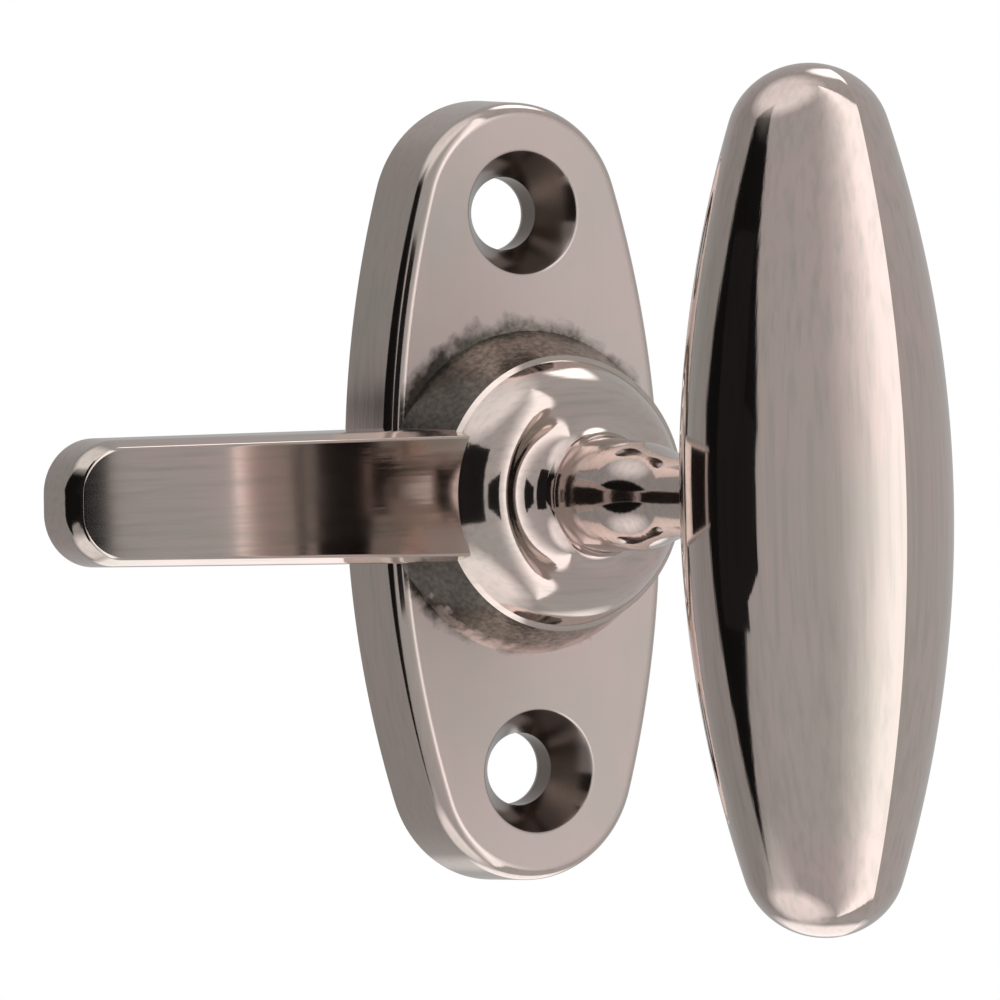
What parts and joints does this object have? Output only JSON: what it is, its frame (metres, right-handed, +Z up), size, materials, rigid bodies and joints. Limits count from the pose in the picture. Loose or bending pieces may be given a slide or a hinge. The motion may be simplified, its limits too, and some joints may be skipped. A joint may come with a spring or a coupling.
{
  "type": "window catch",
  "caption": "Polished nickel casement window catch: oval backplate with countersunk screw holes, and a turning flat tongue on a flared hub with an oval turn knob.",
  "frame": {"origin": "on the turning axis at the plate's back face, midway between the screw holes", "axes": "+Z up the plate, the knob stands out along -Y, the tongue points along -X"},
  "size_m": [0.0453, 0.0506, 0.0522],
  "materials": {
    "backplate": "polished nickel plate on cast brass",
    "latch_tongue": "polished nickel plate on cast brass",
    "oval_knob": "polished nickel plate on turned brass",
    "retaining_washer": "dull brass",
    "spring_washer": "oiled spring steel"
  },
  "bodies": {
    "plate": {"backplate": "backplate", "spring_washer": "spring_washer"},
    "catch": {"latch_tongue": "latch_tongue", "oval_knob": "oval_knob", "retaining_washer": "retaining_washer"}
  },
  "joints": [
    {"name": "turn", "type": "hinge", "parent": "plate", "child": "catch", "pos_m": [0, 0, 0], "axis": [0, 1, 0], "continuous": true}
  ]
}
